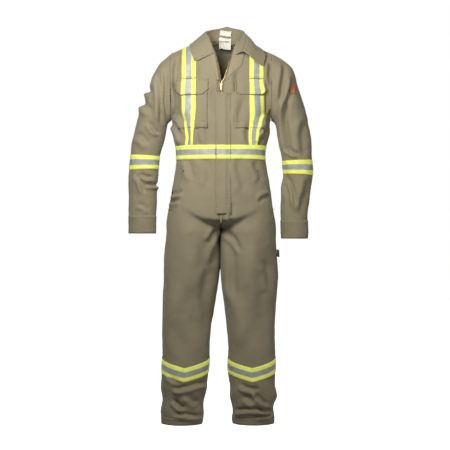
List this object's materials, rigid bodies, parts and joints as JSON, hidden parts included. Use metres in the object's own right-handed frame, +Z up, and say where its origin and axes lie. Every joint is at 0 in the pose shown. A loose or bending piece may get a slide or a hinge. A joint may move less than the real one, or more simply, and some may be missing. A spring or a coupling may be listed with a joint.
{
  "type": "hi-vis work coverall",
  "caption": "One-piece long-sleeved work coverall: spread collar, zip front under a flap, flapped chest pockets, and triple reflective trim.",
  "frame": {"origin": "middle of the underside of the hanger loop inside the back neck", "axes": "+Z up along the hanging garment, -Y towards its front, +X towards the wearer's left"},
  "size_m": [0.7673, 0.2872, 1.6222],
  "materials": {
    "khaki_cloth": "matt twill weave",
    "doubled_cloth": "matt twill weave, doubled and stitched",
    "pocket_cloth": "plain weave",
    "reflective_trim": "fluorescent yellow webbing with a silver centre stripe",
    "zip_tape": "ribbed zip tape",
    "zip_metal": "worn brass",
    "label": "satin woven label",
    "patch": "woven patch",
    "tab": "woven tab"
  },
  "bodies": {
    "shell": {"upper_front_right": "khaki_cloth", "upper_front_left": "khaki_cloth", "upper_back": "khaki_cloth", "hip_front_right": "khaki_cloth", "hip_front_left": "khaki_cloth", "hip_back_right": "khaki_cloth", "hip_back_left": "khaki_cloth", "collar_stand": "khaki_cloth", "collar_leaf": "khaki_cloth", "chest_pocket_right": "doubled_cloth", "chest_pocket_left": "doubled_cloth", "hip_pocket_right": "doubled_cloth", "hip_pocket_left": "doubled_cloth", "hanger_loop": "doubled_cloth", "side_pocket_bag_right": "pocket_cloth", "side_pocket_bag_left": "pocket_cloth", "waist_tape_front_right": "reflective_trim", "waist_tape_front_left": "reflective_trim", "waist_tape_back": "reflective_trim", "chest_tape_right": "reflective_trim", "chest_tape_left": "reflective_trim", "belly_tape_right": "reflective_trim", "belly_tape_left": "reflective_trim", "shoulder_tape_right": "reflective_trim", "shoulder_tape_left": "reflective_trim", "zip_tape_right": "zip_tape", "zip_tape_left": "zip_tape", "zip_teeth_right": "zip_metal", "zip_teeth_left": "zip_metal", "neck_label": "label", "care_label": "label"},
    "zip_slider": {"zip_slider": "zip_metal"},
    "zip_slider_pull": {"zip_slider_pull": "zip_metal"},
    "lower_slider": {"lower_slider": "zip_metal"},
    "lower_slider_pull": {"lower_slider_pull": "zip_metal"},
    "placket": {"cover_placket": "khaki_cloth", "placket_tape": "reflective_trim"},
    "flap_right": {"chest_flap_right": "khaki_cloth", "flap_tape_right": "reflective_trim"},
    "sleeve_right": {"sleeve_right": "khaki_cloth", "cuff_right": "doubled_cloth", "sleeve_tape_right": "reflective_trim"},
    "leg_right": {"leg_front_right": "khaki_cloth", "leg_back_right": "khaki_cloth", "leg_hem_right": "doubled_cloth", "leg_tape_right": "reflective_trim"},
    "flap_left": {"chest_flap_left": "khaki_cloth", "flap_tape_left": "reflective_trim"},
    "sleeve_left": {"sleeve_left": "khaki_cloth", "cuff_left": "doubled_cloth", "sleeve_tape_left": "reflective_trim", "sleeve_patch": "patch"},
    "leg_left": {"leg_front_left": "khaki_cloth", "leg_back_left": "khaki_cloth", "leg_hem_left": "doubled_cloth", "leg_tape_left": "reflective_trim", "thigh_tab": "tab"}
  },
  "joints": [
    {"name": "zip_slide", "type": "slide", "parent": "shell", "child": "zip_slider", "axis": [0, -0.0622, -0.9981], "range_m": [0, 0.505]},
    {"name": "zip_pull_flip", "type": "hinge", "parent": "zip_slider", "child": "zip_slider_pull", "pos_m": [0, -0.15459, -0.19828], "axis": [-1, 0, 0], "range_deg": [0, 150]},
    {"name": "lower_zip_slide", "type": "slide", "parent": "shell", "child": "lower_slider", "axis": [0, -0.0622, -0.9981], "range_m": [-0.22, 0]},
    {"name": "lower_pull_flip", "type": "hinge", "parent": "lower_slider", "child": "lower_slider_pull", "pos_m": [0, -0.1879, -0.73328], "axis": [-1, 0, 0], "range_deg": [0, 150]},
    {"name": "placket_open", "type": "hinge", "parent": "shell", "child": "placket", "pos_m": [0.0396, -0.17011, -0.48351], "axis": [0, 0.0622, 0.9981], "range_deg": [0, 90]},
    {"name": "flap_right_lift", "type": "hinge", "parent": "shell", "child": "flap_right", "pos_m": [-0.1165, -0.15066, -0.17081], "axis": [-0.9846, 0.1751, 0], "range_deg": [0, 100]},
    {"name": "flap_left_lift", "type": "hinge", "parent": "shell", "child": "flap_left", "pos_m": [0.1165, -0.15066, -0.17081], "axis": [-0.9846, -0.1751, 0], "range_deg": [0, 100]},
    {"name": "sleeve_right_raise", "type": "hinge", "parent": "shell", "child": "sleeve_right", "pos_m": [-0.205, -0.03886, -0.05151], "axis": [0, 1, 0], "range_deg": [0, 75]},
    {"name": "sleeve_left_raise", "type": "hinge", "parent": "shell", "child": "sleeve_left", "pos_m": [0.205, -0.03886, -0.05151], "axis": [0, -1, 0], "range_deg": [0, 75]},
    {"name": "leg_right_swing", "type": "hinge", "parent": "shell", "child": "leg_right", "pos_m": [-0.115, -0.16886, -0.79351], "axis": [-1, 0, 0], "range_deg": [0, 60]},
    {"name": "leg_left_swing", "type": "hinge", "parent": "shell", "child": "leg_left", "pos_m": [0.115, -0.16886, -0.79351], "axis": [-1, 0, 0], "range_deg": [0, 60]}
  ]
}
